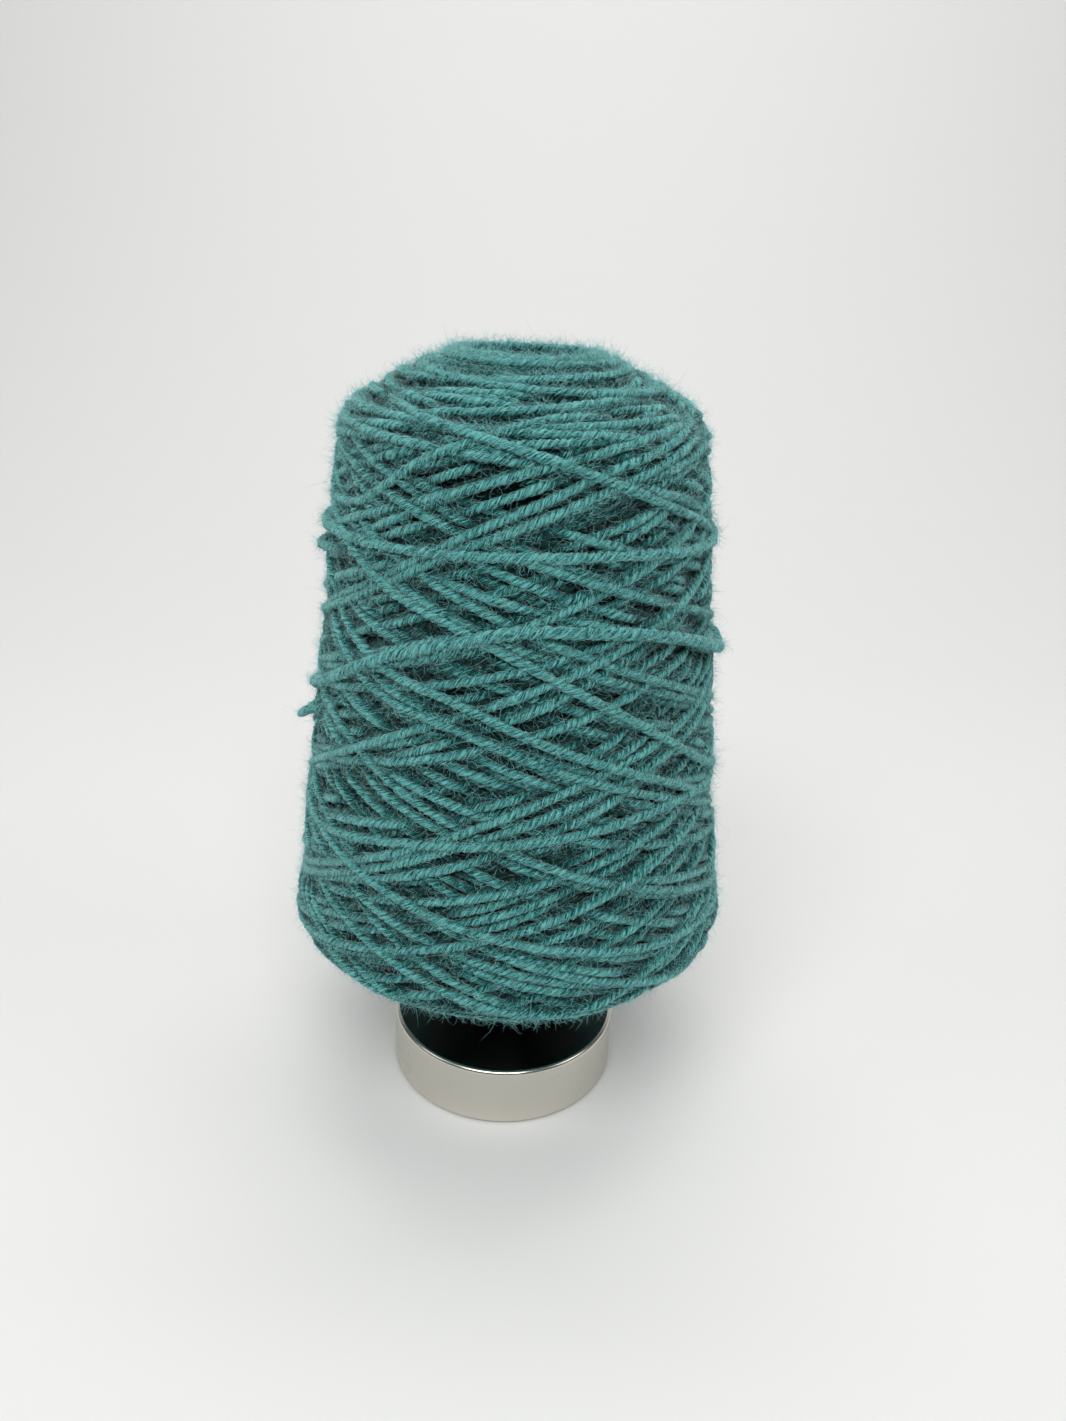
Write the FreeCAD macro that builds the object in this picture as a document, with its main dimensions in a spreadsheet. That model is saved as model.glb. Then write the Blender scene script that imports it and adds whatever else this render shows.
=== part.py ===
import FreeCAD, Part
import os
import re

import Sketcher

# A cone of wool yarn on a small weighted stand. The stand is a turned steel cup with ballast inside
# it and a spindle standing out of its top. A ball bearing on the spindle carries a plastic seat, the
# yarn's paper cone sits on that seat, and a guide at the cone's nose keeps it upright.
# Millimetres. The origin is on the table under the spindle, and +Z runs up the spindle.

SIZES = [
    ("base_radius", 28.4, "outside of the steel base"),
    ("base_height", 15.8, "top face of the base above the table"),
    ("base_edge_fillet", 1.0, "rounding of the base's top edge"),
    ("shell_wall", 2.6, "side wall of the steel cup"),
    ("shell_roof", 2.7, "thickness of the steel cup's top"),
    ("floor_gap", 0.7, "cup's rim above the table"),
    ("fit_gap", 0.1, "play between nested pieces that don't move"),
    ("pad_thickness", 1.0, "rubber ring under the base"),
    ("pad_width", 8.0, "radial width of the rubber ring"),
    ("pad_inset", 0.5, "rubber ring inside the cup's wall"),
    ("plate_thickness", 2.0, "steel plate that closes the cup"),
    ("screw_radius", 1.5, "thread of the plate's screws"),
    ("screw_head_radius", 2.8, "countersunk head"),
    ("screw_head_depth", 1.4, "height of the countersunk head"),
    ("screw_length", 7.0, "screw from the face of its head to its tip"),
    ("screw_socket_radius", 1.15, "corner radius of the hexagon socket"),
    ("screw_socket_depth", 1.1, "depth of the hexagon socket"),
    ("screw_count", 3, "screws in the plate"),
    ("screw_circle_radius", 13.0, "screws from the spindle's axis"),
    ("spindle_radius", 3.0, "rod of the spindle"),
    ("spindle_reach", 0.4, "rod above the nose guide"),
    ("spindle_tip_bevel", 0.8, "bevel at the top of the rod"),
    ("stud_radius", 2.5, "threaded lower end of the spindle"),
    ("flange_radius", 6.0, "flange that clamps on the base"),
    ("flange_thickness", 2.2, "height of that flange"),
    ("shoulder_radius", 4.2, "shoulder under the bearing's inner race"),
    ("shoulder_height", 0.8, "height of that shoulder"),
    ("washer_radius", 5.5, "washer under the ballast"),
    ("washer_thickness", 1.0, "thickness of that washer"),
    ("nut_radius", 4.6, "corner radius of the hexagon nut"),
    ("nut_height", 2.7, "height of the hexagon nut"),
    ("stud_end_length", 0.6, "thread below the nut"),
    ("nut_pocket_play", 1.5, "room around the washer in the ballast"),
    ("stud_end_gap", 0.7, "end of the thread above the steel plate"),
    ("bearing_radius", 9.5, "outside of the ball bearing"),
    ("bearing_width", 6.0, "height of the ball bearing"),
    ("ball_radius", 1.75, "one ball of the bearing"),
    ("groove_depth", 0.6, "how deep a ball sits in each race"),
    ("ball_count", 7, "balls in the bearing"),
    ("ball_play", 0.05, "play between a ball and its grooves"),
    ("cage_half_width", 0.7, "half the radial width of the cage"),
    ("cage_gap", 0.3, "cage above the lower shield"),
    ("cage_above", 0.6, "cage above the balls' centres"),
    ("shield_thickness", 0.3, "sheet of the bearing's shields"),
    ("shield_step", 0.6, "step in the outer race that holds a shield"),
    ("shield_gap", 0.25, "shield off the inner race"),
    ("clip_thickness", 0.6, "clip above the inner race"),
    ("clip_radius", 4.4, "outside of that clip"),
    ("clip_opening", 3.4, "mouth of that clip"),
    ("clip_groove_depth", 0.6, "depth of the clip's groove in the rod"),
    ("press_gap", 0.01, "play in a press fit"),
    ("seat_wall", 2.5, "seat around the bearing"),
    ("seat_skirt", 1.2, "straight part at the bottom of the seat"),
    ("seat_web", 1.4, "seat above the bearing"),
    ("seat_rim", 1.6, "height of the seat's outer rim"),
    ("seat_rim_overhang", 1.6, "rim outside the paper cone"),
    ("seat_web_play", 0.5, "that web off the bearing's inner race"),
    ("spigot_height", 12.0, "tapered spigot inside the paper cone"),
    ("spigot_wall", 2.4, "wall of the spigot"),
    ("spigot_gap", 0.15, "spigot off the paper cone"),
    ("spigot_slot_width", 1.6, "slots that part the spigot into fingers"),
    ("spigot_slot_depth", 9.0, "depth of those slots"),
    ("spigot_slot_count", 3, "slots right across the spigot"),
    ("rest_gap", 0.05, "play under the paper cone and the guide"),
    ("core_base_radius", 18.0, "outside of the paper cone at its base"),
    ("core_nose_radius", 8.8, "outside of the paper cone at its nose"),
    ("core_wall", 1.6, "wall of the paper cone"),
    ("core_length", 148.5, "length of the paper cone"),
    ("guide_flange", 1.5, "guide's flange on the paper cone's nose"),
    ("guide_flange_inset", 0.3, "that flange inside the paper cone's outside"),
    ("guide_depth", 12.0, "guide inside the paper cone"),
    ("guide_gap", 0.15, "guide off the paper cone"),
    ("bush_wall", 1.4, "wall of the brass bush"),
    ("running_gap", 0.06, "play of the bush on the rod"),
    ("yarn_gap", 0.05, "yarn off the paper cone"),
    ("yarn_foot_lift", 0.25, "yarn's foot above the end of the paper cone"),
    ("yarn_foot_width", 2.0, "yarn's foot outside the paper cone"),
    ("yarn_wide_radius", 52.2, "widest place of the package"),
    ("yarn_wide_height", 24.3, "widest place above the seat"),
    ("yarn_bevel_step", 1.8, "underside's edge below the widest place"),
    ("yarn_shoulder_radius", 38.7, "package where its top rounds over"),
    ("yarn_shoulder_drop", 13.4, "that shoulder below the package's top"),
    ("yarn_brow_radius", 28.0, "package half way over its rounded top"),
    ("yarn_brow_drop", 4.6, "that place below the package's top"),
    ("yarn_ring_radius", 14.5, "highest ring of yarn round the nose"),
    ("yarn_top_lift", 4.8, "highest ring above the paper cone"),
    ("yarn_dip", 4.6, "dip from that ring to the paper cone"),
    ("yarn_shoulder_rounding", 9.0, "rounding of the shoulder"),
    ("yarn_ring_rounding", 2.5, "rounding of the highest ring"),
]

# Heights and radii that pieces share, worked out from the sizes above.
PLATE_TOP = "pad_thickness + plate_thickness"
CAVITY_TOP = "base_height - shell_roof"
CAVITY_RADIUS = "base_radius - shell_wall"
INSERT_RADIUS = f"{CAVITY_RADIUS} - fit_gap"
PAD_RADIUS = f"{CAVITY_RADIUS} - pad_inset"
STUD_END = f"{PLATE_TOP} + stud_end_gap"
NUT_BOTTOM = f"{STUD_END} + stud_end_length"
NUT_TOP = f"{NUT_BOTTOM} + nut_height"
WASHER_TOP = f"{NUT_TOP} + washer_thickness"
FLANGE_TOP = "base_height + flange_thickness"
BEARING_BOTTOM = f"{FLANGE_TOP} + shoulder_height"
BEARING_TOP = f"{BEARING_BOTTOM} + bearing_width"
BEARING_MIDDLE = f"{BEARING_BOTTOM} + bearing_width / 2"
PITCH_RADIUS = "(spindle_radius + bearing_radius) / 2"
BALL_SPACE = "ball_radius + ball_play"
CAGE_BOTTOM = f"{BEARING_BOTTOM} + shield_thickness + cage_gap"
INNER_RACE_RADIUS = f"{PITCH_RADIUS} - ball_radius + groove_depth"
OUTER_RACE_RADIUS = f"{PITCH_RADIUS} + ball_radius - groove_depth"
SHIELD_SEAT_RADIUS = f"{OUTER_RACE_RADIUS} + shield_step"
GROOVE_RADIUS = "spindle_radius - clip_groove_depth"
CLIP_TOP = f"{BEARING_TOP} + clip_thickness"
SEAT_TOP = f"{BEARING_TOP} + seat_web"
SEAT_BORE = "bearing_radius + press_gap"
SEAT_WEB_HOLE = f"{INNER_RACE_RADIUS} + seat_web_play"
SEAT_RIM_RADIUS = "core_base_radius + seat_rim_overhang"
CORE_BOTTOM = f"{SEAT_TOP} + rest_gap"
CORE_TOP = f"{CORE_BOTTOM} + core_length"
CORE_TAPER = "(core_base_radius - core_nose_radius) / core_length"
GUIDE_BOTTOM = f"{CORE_TOP} + rest_gap"
GUIDE_TOP = f"{GUIDE_BOTTOM} + guide_flange"
GUIDE_BORE = "spindle_radius + running_gap + bush_wall"
SPINDLE_TOP = f"{GUIDE_TOP} + spindle_reach"
YARN_FOOT = f"{CORE_BOTTOM} + yarn_foot_lift"
YARN_WIDE = f"{SEAT_TOP} + yarn_wide_height"
YARN_TOP = f"{CORE_TOP} + yarn_top_lift"
YARN_DIP = f"{YARN_TOP} - yarn_dip"

FULL_TURN = 360.0
AXIS = "0"
HEXAGON = 6
SAME_PLACE = 1e-4       # two places no further apart than this are one

doc = FreeCAD.newDocument("YarnConeStand")
sheet = doc.addObject("Spreadsheet::Sheet", "sizes")
for row, (alias, number, note) in enumerate(SIZES, start=1):
    sheet.set(f"A{row}", alias)
    sheet.set(f"B{row}", str(number))
    sheet.setAlias(f"B{row}", alias)
    sheet.set(f"C{row}", note)
doc.recompute()

nodes = {}


def bound(formula):
    """The formula with every size named as a cell of the sheet."""
    return re.sub(r"\b[a-z_]+\b(?!\()", lambda match: "sizes." + match.group(), formula)


def value(formula):
    """The number that a formula of sizes gives now."""
    return float(sheet.evalExpression(bound(formula)))


SCREW_COUNT = int(value("screw_count"))
BALL_COUNT = int(value("ball_count"))
SLOT_COUNT = int(value("spigot_slot_count"))


def core_outside(rise):
    """Radius of the paper cone's outside at a height above its base."""
    return f"core_base_radius - ({rise}) * {CORE_TAPER}"


def keep(name, piece):
    """Count a finished object as the sub-part of that name."""
    piece.Label = name
    nodes[name] = piece
    return piece


def origin_plane(body, role):
    """One of a body's own origin planes."""
    for feature in body.Origin.OriginFeatures:
        if feature.Role == role:
            return feature
    raise ValueError(role)


def place_point(sketch, line, coordinate, direction, axis):
    """Tie one coordinate of a line's first point to a formula of sizes."""
    if coordinate == AXIS:
        sketch.addConstraint(Sketcher.Constraint("PointOnObject", line, 1, axis))
        return
    constraint = Sketcher.Constraint(direction, -1, 1, line, 1, value(coordinate))
    index = sketch.addConstraint(constraint)
    sketch.setExpression(f"Constraints[{index}]", bound(coordinate))


def turned(name, outline):
    """A body turned about the spindle's axis from a closed outline of (radius, height)."""
    body = doc.addObject("PartDesign::Body", f"{name}_body")
    sketch = body.newObject("Sketcher::SketchObject", f"{name}_outline")
    sketch.AttachmentSupport = (origin_plane(body, "XZ_Plane"), [""])
    sketch.MapMode = "FlatFace"
    corners = [FreeCAD.Vector(value(radius), value(height), 0) for radius, height in outline]
    for index, corner in enumerate(corners):
        following = corners[(index + 1) % len(corners)]
        sketch.addGeometry(Part.LineSegment(corner, following), False)
    for index in range(len(corners)):
        following = (index + 1) % len(corners)
        sketch.addConstraint(Sketcher.Constraint("Coincident", index, 2, following, 1))
    for index, (radius, height) in enumerate(outline):
        place_point(sketch, index, radius, "DistanceX", -2)
        place_point(sketch, index, height, "DistanceY", -1)
    doc.recompute()
    revolution = body.newObject("PartDesign::Revolution", f"{name}_turned")
    revolution.Profile = sketch
    revolution.ReferenceAxis = (sketch, ["V_Axis"])
    revolution.Angle = FULL_TURN
    doc.recompute()
    return body


def round_edges(body, name, corners, radius):
    """Fillet the circular edges of a turned body that lie at the given (radius, height) corners."""
    chosen = []
    for index, edge in enumerate(body.Tip.Shape.Edges, start=1):
        if not isinstance(edge.Curve, Part.Circle):
            continue
        for corner_radius, corner_height in corners:
            radius_off = abs(edge.Curve.Radius - value(corner_radius))
            height_off = abs(edge.Curve.Center.z - value(corner_height))
            if max(radius_off, height_off) < SAME_PLACE:
                chosen.append(f"Edge{index}")
    base = body.Tip
    fillet = body.newObject("PartDesign::Fillet", name)
    fillet.Base = (base, chosen)
    fillet.setExpression("Radius", bound(radius))
    doc.recompute()
    return body


def primitive(kind, name, sizes, base=(AXIS, AXIS, AXIS)):
    """A Part primitive with its sizes and its position tied to the sheet."""
    solid = doc.addObject(f"Part::{kind}", name)
    for attribute, formula in sizes.items():
        solid.setExpression(attribute, bound(formula))
    for letter, formula in zip("xyz", base):
        if formula != AXIS:
            solid.setExpression(f".Placement.Base.{letter}", bound(formula))
    return solid


def combined(kind, name, shapes):
    """A compound or a fusion of several objects."""
    group = doc.addObject(f"Part::{kind}", name)
    if kind == "Compound":
        group.Links = shapes
    else:
        group.Shapes = shapes
    return group


def cut(name, base, tool):
    """One object with another taken away."""
    result = doc.addObject("Part::Cut", name)
    result.Base = base
    result.Tool = tool
    return result


def around(radius, count, index):
    """Position of one of several equal places on a circle about the axis."""
    angle = FULL_TURN * index / count
    return f"({radius}) * cos({angle:.6f})", f"({radius}) * sin({angle:.6f})"


def make_base_shell():
    body = turned("base_shell", [
        ("stud_radius + fit_gap", CAVITY_TOP),
        (CAVITY_RADIUS, CAVITY_TOP),
        (CAVITY_RADIUS, "floor_gap"),
        ("base_radius", "floor_gap"),
        ("base_radius", "base_height"),
        ("stud_radius + fit_gap", "base_height"),
    ])
    edge = ("base_radius", "base_height")
    keep("base_shell", round_edges(body, "base_shell_edge", [edge], "base_edge_fillet"))


def screw_shape(name, index, play):
    """A countersunk screw pointing up, or with some play the hole that it goes in."""
    x, y = around("screw_circle_radius", SCREW_COUNT, index)
    place = (x, y, "pad_thickness")
    shank_sizes = {"Radius": f"screw_radius + {play}", "Height": f"screw_length + {play}"}
    shank = primitive("Cylinder", f"{name}_shank_{index}", shank_sizes, place)
    head_sizes = {
        "Radius1": f"screw_head_radius + {play}",
        "Radius2": f"screw_radius + {play}",
        "Height": "screw_head_depth",
    }
    head = primitive("Cone", f"{name}_head_{index}", head_sizes, place)
    return combined("MultiFuse", f"{name}_{index}", [shank, head])


def make_screws():
    screws = []
    for index in range(SCREW_COUNT):
        blank = screw_shape("screw_blank", index, AXIS)
        x, y = around("screw_circle_radius", SCREW_COUNT, index)
        socket_sizes = {"Circumradius": "screw_socket_radius", "Height": "screw_socket_depth"}
        socket = primitive("Prism", f"screw_socket_{index}", socket_sizes, (x, y, "pad_thickness"))
        socket.Polygon = HEXAGON
        screws.append(cut(f"screw_{index}", blank, socket))
    keep("plate_screws", combined("Compound", "plate_screws_group", screws))


def screw_holes(name):
    holes = [screw_shape(name, index, "fit_gap") for index in range(SCREW_COUNT)]
    return combined("Compound", f"{name}_group", holes)


def make_ballast():
    blank = turned("ballast_blank", [
        ("stud_radius + fit_gap", WASHER_TOP),
        ("washer_radius + nut_pocket_play", WASHER_TOP),
        ("washer_radius + nut_pocket_play", PLATE_TOP),
        (INSERT_RADIUS, PLATE_TOP),
        (INSERT_RADIUS, CAVITY_TOP),
        ("stud_radius + fit_gap", CAVITY_TOP),
    ])
    keep("ballast_disc", cut("ballast_drilled", blank, screw_holes("ballast_hole")))


def make_bottom_plate():
    blank = turned("plate_blank", [
        (AXIS, "pad_thickness"),
        (INSERT_RADIUS, "pad_thickness"),
        (INSERT_RADIUS, PLATE_TOP),
        (AXIS, PLATE_TOP),
    ])
    keep("bottom_plate", cut("plate_drilled", blank, screw_holes("plate_hole")))


def make_foot_pad():
    keep("foot_pad", turned("foot_pad", [
        (f"{PAD_RADIUS} - pad_width", AXIS),
        (PAD_RADIUS, AXIS),
        (PAD_RADIUS, "pad_thickness"),
        (f"{PAD_RADIUS} - pad_width", "pad_thickness"),
    ]))


def make_spindle():
    keep("spindle", turned("spindle", [
        (AXIS, STUD_END),
        ("stud_radius", STUD_END),
        ("stud_radius", "base_height"),
        ("flange_radius", "base_height"),
        ("flange_radius", FLANGE_TOP),
        ("shoulder_radius", FLANGE_TOP),
        ("shoulder_radius", BEARING_BOTTOM),
        ("spindle_radius", BEARING_BOTTOM),
        ("spindle_radius", BEARING_TOP),
        (GROOVE_RADIUS, BEARING_TOP),
        (GROOVE_RADIUS, f"{CLIP_TOP} + fit_gap"),
        ("spindle_radius", f"{CLIP_TOP} + fit_gap"),
        ("spindle_radius", f"{SPINDLE_TOP} - spindle_tip_bevel"),
        ("spindle_radius - spindle_tip_bevel", SPINDLE_TOP),
        (AXIS, SPINDLE_TOP),
    ]))


def make_washer_and_nut():
    keep("spindle_washer", turned("spindle_washer", [
        ("stud_radius + fit_gap", NUT_TOP),
        ("washer_radius", NUT_TOP),
        ("washer_radius", WASHER_TOP),
        ("stud_radius + fit_gap", WASHER_TOP),
    ]))
    nut_sizes = {"Circumradius": "nut_radius", "Height": "nut_height"}
    blank = primitive("Prism", "nut_blank", nut_sizes, (AXIS, AXIS, NUT_BOTTOM))
    blank.Polygon = HEXAGON
    thread_sizes = {"Radius": "stud_radius + press_gap", "Height": "nut_height"}
    thread = primitive("Cylinder", "nut_thread", thread_sizes, (AXIS, AXIS, NUT_BOTTOM))
    keep("spindle_nut", cut("nut_tapped", blank, thread))


def ball_groove(name):
    """The round track of the balls, with their play, as a ring to take away from a race."""
    ring_sizes = {"Radius1": PITCH_RADIUS, "Radius2": BALL_SPACE}
    return primitive("Torus", name, ring_sizes, (AXIS, AXIS, BEARING_MIDDLE))


def make_bearing():
    inner = turned("inner_race_blank", [
        ("spindle_radius + press_gap", BEARING_BOTTOM),
        (INNER_RACE_RADIUS, BEARING_BOTTOM),
        (INNER_RACE_RADIUS, BEARING_TOP),
        ("spindle_radius + press_gap", BEARING_TOP),
    ])
    keep("bearing_inner_race", cut("inner_race", inner, ball_groove("inner_groove")))
    outer = turned("outer_race_blank", [
        (SHIELD_SEAT_RADIUS, BEARING_BOTTOM),
        ("bearing_radius", BEARING_BOTTOM),
        ("bearing_radius", BEARING_TOP),
        (SHIELD_SEAT_RADIUS, BEARING_TOP),
        (SHIELD_SEAT_RADIUS, f"{BEARING_TOP} - shield_thickness"),
        (OUTER_RACE_RADIUS, f"{BEARING_TOP} - shield_thickness"),
        (OUTER_RACE_RADIUS, f"{BEARING_BOTTOM} + shield_thickness"),
        (SHIELD_SEAT_RADIUS, f"{BEARING_BOTTOM} + shield_thickness"),
    ])
    keep("bearing_outer_race", cut("outer_race", outer, ball_groove("outer_groove")))

    balls = []
    pockets = []
    for index in range(BALL_COUNT):
        x, y = around(PITCH_RADIUS, BALL_COUNT, index)
        place = (x, y, BEARING_MIDDLE)
        balls.append(primitive("Sphere", f"ball_{index}", {"Radius": "ball_radius"}, place))
        pocket_sizes = {"Radius": BALL_SPACE}
        pockets.append(primitive("Sphere", f"pocket_{index}", pocket_sizes, place))
    keep("bearing_balls", combined("Compound", "balls_group", balls))

    cage = turned("cage_blank", [
        (f"{PITCH_RADIUS} - cage_half_width", CAGE_BOTTOM),
        (f"{PITCH_RADIUS} + cage_half_width", CAGE_BOTTOM),
        (f"{PITCH_RADIUS} + cage_half_width", f"{BEARING_MIDDLE} + cage_above"),
        (f"{PITCH_RADIUS} - cage_half_width", f"{BEARING_MIDDLE} + cage_above"),
    ])
    pocket_group = combined("Compound", "pocket_group", pockets)
    keep("bearing_cage", cut("cage_pocketed", cage, pocket_group))

    shield_floors = {
        "bearing_lower_shield": BEARING_BOTTOM,
        "bearing_upper_shield": f"{BEARING_TOP} - shield_thickness",
    }
    for name, floor in shield_floors.items():
        keep(name, turned(name, [
            (f"{INNER_RACE_RADIUS} + shield_gap", floor),
            (f"{SHIELD_SEAT_RADIUS} - press_gap", floor),
            (f"{SHIELD_SEAT_RADIUS} - press_gap", f"{floor} + shield_thickness"),
            (f"{INNER_RACE_RADIUS} + shield_gap", f"{floor} + shield_thickness"),
        ]))


def make_bearing_clip():
    ring = turned("clip_ring", [
        (f"{GROOVE_RADIUS} + press_gap", BEARING_TOP),
        ("clip_radius", BEARING_TOP),
        ("clip_radius", CLIP_TOP),
        (f"{GROOVE_RADIUS} + press_gap", CLIP_TOP),
    ])
    mouth_sizes = {"Length": "clip_radius", "Width": "clip_opening", "Height": "clip_thickness"}
    mouth_place = (AXIS, "-clip_opening / 2", BEARING_TOP)
    mouth = primitive("Box", "clip_mouth", mouth_sizes, mouth_place)
    keep("bearing_clip", cut("clip_opened", ring, mouth))


def make_cone_seat():
    spigot_base = "core_base_radius - core_wall - spigot_gap"
    spigot_nose = f"{spigot_base} - spigot_height * {CORE_TAPER}"
    spigot_top = f"{SEAT_TOP} + spigot_height"
    blank = turned("seat_blank", [
        (SEAT_BORE, BEARING_BOTTOM),
        ("bearing_radius + seat_wall", BEARING_BOTTOM),
        ("bearing_radius + seat_wall", f"{BEARING_BOTTOM} + seat_skirt"),
        (SEAT_RIM_RADIUS, f"{SEAT_TOP} - seat_rim"),
        (SEAT_RIM_RADIUS, SEAT_TOP),
        (spigot_base, SEAT_TOP),
        (spigot_nose, spigot_top),
        (f"{spigot_nose} - spigot_wall", spigot_top),
        (f"{spigot_base} - spigot_wall", SEAT_TOP),
        (SEAT_WEB_HOLE, SEAT_TOP),
        (SEAT_WEB_HOLE, BEARING_TOP),
        (SEAT_BORE, BEARING_TOP),
    ])
    slots = []
    for index in range(SLOT_COUNT):
        slot_sizes = {
            "Length": "2 * core_base_radius",
            "Width": "spigot_slot_width",
            "Height": "spigot_slot_depth + core_wall",
        }
        slot = primitive("Box", f"slot_{index}", slot_sizes)
        slot.Placement.Rotation = FreeCAD.Rotation(FULL_TURN / 2 * index / SLOT_COUNT, 0, 0)
        half_length = "core_base_radius"
        half_width = "spigot_slot_width / 2"
        angle = f"{FULL_TURN / 2 * index / SLOT_COUNT:.6f}"
        x = f"-{half_length} * cos({angle}) + {half_width} * sin({angle})"
        y = f"-{half_length} * sin({angle}) - {half_width} * cos({angle})"
        slot.setExpression(".Placement.Base.x", bound(x))
        slot.setExpression(".Placement.Base.y", bound(y))
        slot.setExpression(".Placement.Base.z", bound(f"{spigot_top} - spigot_slot_depth"))
        slots.append(slot)
    keep("cone_seat", cut("seat_slotted", blank, combined("Compound", "slot_group", slots)))


def make_cone_core():
    keep("cone_core", turned("cone_core", [
        ("core_base_radius - core_wall", CORE_BOTTOM),
        ("core_base_radius", CORE_BOTTOM),
        ("core_nose_radius", CORE_TOP),
        ("core_nose_radius - core_wall", CORE_TOP),
    ]))


def make_nose_guide():
    plug_radius = "core_nose_radius - core_wall - guide_gap"
    keep("nose_guide", turned("nose_guide", [
        (GUIDE_BORE, f"{CORE_TOP} - guide_depth"),
        (f"{plug_radius} - guide_gap", f"{CORE_TOP} - guide_depth"),
        (plug_radius, GUIDE_BOTTOM),
        ("core_nose_radius - guide_flange_inset", GUIDE_BOTTOM),
        ("core_nose_radius - guide_flange_inset", GUIDE_TOP),
        (GUIDE_BORE, GUIDE_TOP),
    ]))
    keep("guide_bush", turned("guide_bush", [
        ("spindle_radius + running_gap", f"{CORE_TOP} - guide_depth"),
        (f"{GUIDE_BORE} - press_gap", f"{CORE_TOP} - guide_depth"),
        (f"{GUIDE_BORE} - press_gap", GUIDE_TOP),
        ("spindle_radius + running_gap", GUIDE_TOP),
    ]))


def make_yarn_package():
    foot_rise = "yarn_foot_lift"
    dip_rise = "core_length + yarn_top_lift - yarn_dip"
    wide = ("yarn_wide_radius", YARN_WIDE)
    bevel = ("yarn_wide_radius - yarn_bevel_step", f"{YARN_WIDE} - yarn_bevel_step")
    shoulder = ("yarn_shoulder_radius", f"{YARN_TOP} - yarn_shoulder_drop")
    brow = ("yarn_brow_radius", f"{YARN_TOP} - yarn_brow_drop")
    ring = ("yarn_ring_radius", YARN_TOP)
    body = turned("yarn_package", [
        (f"{core_outside(foot_rise)} + yarn_gap", YARN_FOOT),
        (f"{core_outside(foot_rise)} + yarn_foot_width", YARN_FOOT),
        bevel,
        wide,
        shoulder,
        brow,
        ring,
        (f"{core_outside(dip_rise)} + yarn_gap", YARN_DIP),
    ])
    round_edges(body, "yarn_ring_edge", [ring], "yarn_ring_rounding")
    round_edges(body, "yarn_shoulder_edge", [shoulder], "yarn_shoulder_rounding")
    keep("yarn_package", body)


def check_document():
    """Stop unless every object recomputed well and every sub-part is a valid shape."""
    for item in doc.Objects:
        if "Invalid" in item.State or "Error" in item.State:
            raise RuntimeError(f"{item.Name} failed: {item.State}")
    for name, piece in nodes.items():
        if piece.Shape.isNull() or not piece.Shape.isValid():
            raise RuntimeError(f"{name} has no valid shape")


def write_parts():
    os.makedirs("parts", exist_ok=True)
    for name, piece in nodes.items():
        piece.Shape.exportStep(f"parts/{name}.step")
        box = piece.Shape.BoundBox
        count = len(piece.Shape.Solids)
        print(f"{name:22} solids {count} z {box.ZMin:8.2f} {box.ZMax:8.2f} r {box.XMax:7.2f}"
              f" volume {piece.Shape.Volume:10.1f}")


make_base_shell()
make_ballast()
make_bottom_plate()
make_foot_pad()
make_screws()
make_spindle()
make_washer_and_nut()
make_bearing()
make_bearing_clip()
make_cone_seat()
make_cone_core()
make_nose_guide()
make_yarn_package()
doc.recompute()
check_document()
write_parts()
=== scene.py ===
import math

import bpy
import numpy as np
from mathutils import Matrix, Vector


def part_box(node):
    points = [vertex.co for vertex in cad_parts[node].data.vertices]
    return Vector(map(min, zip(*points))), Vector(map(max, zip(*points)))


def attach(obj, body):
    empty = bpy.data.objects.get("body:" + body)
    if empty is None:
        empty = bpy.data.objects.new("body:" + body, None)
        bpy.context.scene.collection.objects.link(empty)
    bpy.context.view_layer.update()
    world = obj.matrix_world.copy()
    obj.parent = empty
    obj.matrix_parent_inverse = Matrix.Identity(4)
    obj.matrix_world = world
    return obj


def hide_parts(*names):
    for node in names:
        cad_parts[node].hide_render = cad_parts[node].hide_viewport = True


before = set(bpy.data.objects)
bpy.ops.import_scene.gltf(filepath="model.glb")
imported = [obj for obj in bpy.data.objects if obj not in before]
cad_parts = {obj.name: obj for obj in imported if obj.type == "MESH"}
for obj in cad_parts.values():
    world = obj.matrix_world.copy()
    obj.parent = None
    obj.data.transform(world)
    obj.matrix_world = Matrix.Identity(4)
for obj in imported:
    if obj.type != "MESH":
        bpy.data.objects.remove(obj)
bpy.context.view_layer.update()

# A cone of teal wool on a weighted steel stand. The stand, its bearing, the seat and the paper cone
# are the CAD pieces with better materials. The yarn is laid here, turn by turn, round the cone.
# Lengths in the yarn's own code are millimetres, and MM turns them into the frame's metres.

MM = 0.001
TURN = 2 * math.pi
SEED = 2026
rng = np.random.default_rng(SEED)

# ---------------------------------------------------------------- the yarn and how it is wound
STRAND_RADIUS = 0.98        # one three-ply strand, wound tight
PLY_COUNT = 3
PLY_RADIUS_SHARE = 0.68     # one ply's radius as a share of the strand's
LAY_LENGTH = 4.7            # one turn of the twist, left-handed
RAILS_PER_PLY = 4           # mesh lines along each ply
RING_STEP = 0.66            # distance between the mesh rings of a strand
STROKE_PAIRS = 240          # runs of the traverse up and back down that are laid
WIND_ANGLE = math.radians(20.0)
END_WIND_SHARE = 0.30       # how much of that slope is left on the rounded top and on the underside
TURN_BACK = 7.0             # length over which a run levels out before it turns back
WAYS_ROUND = 5              # groups of side-by-side turns round the package
GROUP_SHIFT = 0.125         # angle from one turn of a group to the next
LOW_TURNS = (0.22, 0.02)    # shares of the outline between which runs turn back at the foot
HIGH_TURNS = (0.80, 0.985)  # and at the top
TURN_CROWDING = 1.7         # how much the turns back crowd towards the second of each two shares
SIDE_STEEPNESS = 0.80       # outline's upward slope from which the winding starts to steepen
SIDE_BLEND = 0.17           # further slope over which it reaches its full angle
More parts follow.
